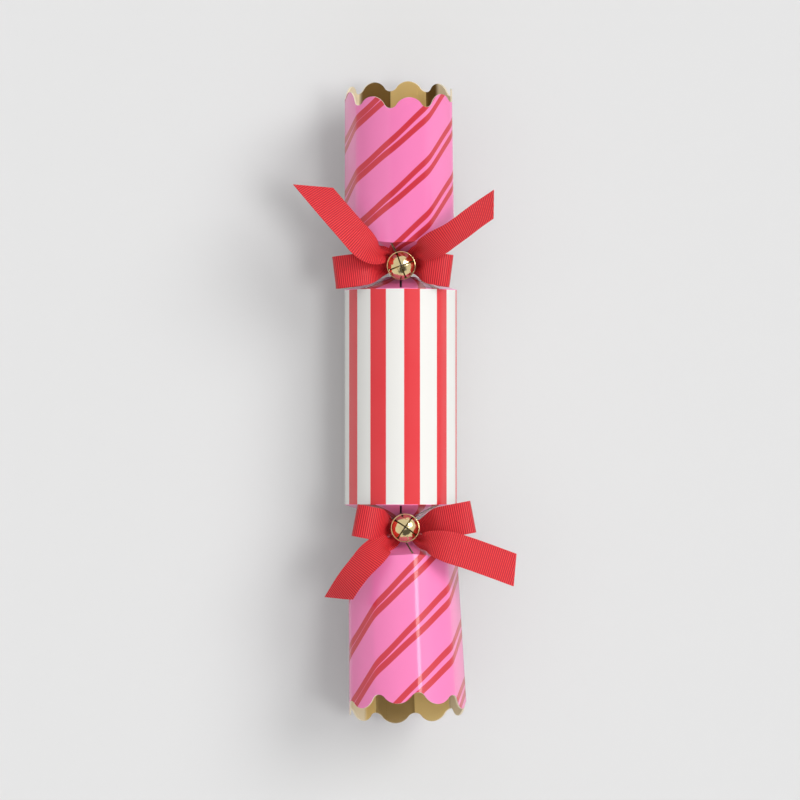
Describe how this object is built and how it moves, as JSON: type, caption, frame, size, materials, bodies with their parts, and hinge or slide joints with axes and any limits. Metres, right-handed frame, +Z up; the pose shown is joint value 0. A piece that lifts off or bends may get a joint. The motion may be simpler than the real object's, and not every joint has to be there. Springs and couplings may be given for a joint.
{
  "type": "christmas cracker",
  "caption": "Christmas cracker with a red and white striped barrel, pink striped scalloped end tubes lined in gold, and red ribbon bows with jingle bells.",
  "frame": {"origin": "middle of the flat panel under the barrel", "axes": "+Y along the cracker towards its upper end, +Z up from the panel it lies on, +X to the right in the picture"},
  "size_m": [0.1088, 0.3218, 0.0744],
  "materials": {
    "striped_card": "gloss printed",
    "printed_card": "gloss printed",
    "gold_foil": "mirror foil",
    "red_ribbon": "ribbed satin",
    "bell_brass": "polished",
    "bell_wire": "polished",
    "pellet_steel": "satin",
    "snap_card": "matt",
    "snap_patch": "rough",
    "sleeve_paper": "matt",
    "tissue_paper": "matt",
    "motto_paper": "matt",
    "top_wood": "lacquer",
    "peg_wood": "matt"
  },
  "bodies": {
    "barrel": {"barrel_card": "striped_card"},
    "upper_tie": {"upper_neck_ribbon": "red_ribbon", "upper_bow_knot": "red_ribbon", "upper_left_loop": "red_ribbon", "upper_right_loop": "red_ribbon", "upper_left_tail": "red_ribbon", "upper_right_tail": "red_ribbon", "upper_snap_strip": "snap_card", "upper_snap_patch": "snap_patch", "snap_sleeve": "sleeve_paper"},
    "lower_tie": {"lower_neck_ribbon": "red_ribbon", "lower_bow_knot": "red_ribbon", "lower_left_loop": "red_ribbon", "lower_right_loop": "red_ribbon", "lower_left_tail": "red_ribbon", "lower_right_tail": "red_ribbon", "lower_snap_strip": "snap_card", "lower_snap_patch": "snap_patch"},
    "upper_end": {"upper_end_card": "printed_card", "upper_gold_lining": "gold_foil"},
    "lower_end": {"lower_end_card": "printed_card", "lower_gold_lining": "gold_foil"},
    "upper_bell": {"upper_bell_cap": "bell_brass", "upper_bell_cup": "bell_brass", "upper_bell_loop": "bell_wire"},
    "lower_bell": {"lower_bell_cap": "bell_brass", "lower_bell_cup": "bell_brass", "lower_bell_loop": "bell_wire"},
    "upper_pellet": {"upper_bell_pellet": "pellet_steel"},
    "lower_pellet": {"lower_bell_pellet": "pellet_steel"},
    "crown": {"paper_crown": "tissue_paper"},
    "motto": {"motto_slip": "motto_paper"},
    "gift": {"top_body": "top_wood", "top_peg": "peg_wood"}
  },
  "joints": [
    {"name": "upper_pull", "type": "slide", "parent": "barrel", "child": "upper_tie", "axis": [0, 1, 0], "range_m": [0, 0.1]},
    {"name": "lower_pull", "type": "slide", "parent": "barrel", "child": "lower_tie", "axis": [0, -1, 0], "range_m": [0, 0.1]},
    {"name": "upper_bend", "type": "hinge", "parent": "upper_tie", "child": "upper_end", "pos_m": [0, 0.067, 0.0273], "axis": [1, 0, 0], "range_deg": [-13, 0]},
    {"name": "lower_bend", "type": "hinge", "parent": "lower_tie", "child": "lower_end", "pos_m": [0, -0.067, 0.0273], "axis": [-1, 0, 0], "range_deg": [-10, 0]},
    {"name": "upper_bell_rock", "type": "hinge", "parent": "upper_tie", "child": "upper_bell", "pos_m": [0.0002, 0.0656, 0.0417], "axis": [1, 0, 0], "range_deg": [-2, 12]},
    {"name": "lower_bell_rock", "type": "hinge", "parent": "lower_tie", "child": "lower_bell", "pos_m": [0.0022, -0.066, 0.0417], "axis": [1, 0, 0], "range_deg": [-12, 3]},
    {"name": "upper_pellet_rattle", "type": "slide", "parent": "upper_bell", "child": "upper_pellet", "axis": [0, -0.0523, 0.9986], "range_m": [0, 0.0086]},
    {"name": "lower_pellet_rattle", "type": "slide", "parent": "lower_bell", "child": "lower_pellet", "axis": [0, 0.0872, 0.9962], "range_m": [0, 0.0086]},
    {"name": "crown_slide", "type": "slide", "parent": "barrel", "child": "crown", "axis": [0, 1, 0], "range_m": [-0.003, 0.002]},
    {"name": "motto_slide", "type": "slide", "parent": "barrel", "child": "motto", "axis": [0, 1, 0], "range_m": [-0.005, 0.005]},
    {"name": "gift_slide", "type": "slide", "parent": "barrel", "child": "gift", "axis": [0, 1, 0], "range_m": [-0.003, 0.006]}
  ]
}
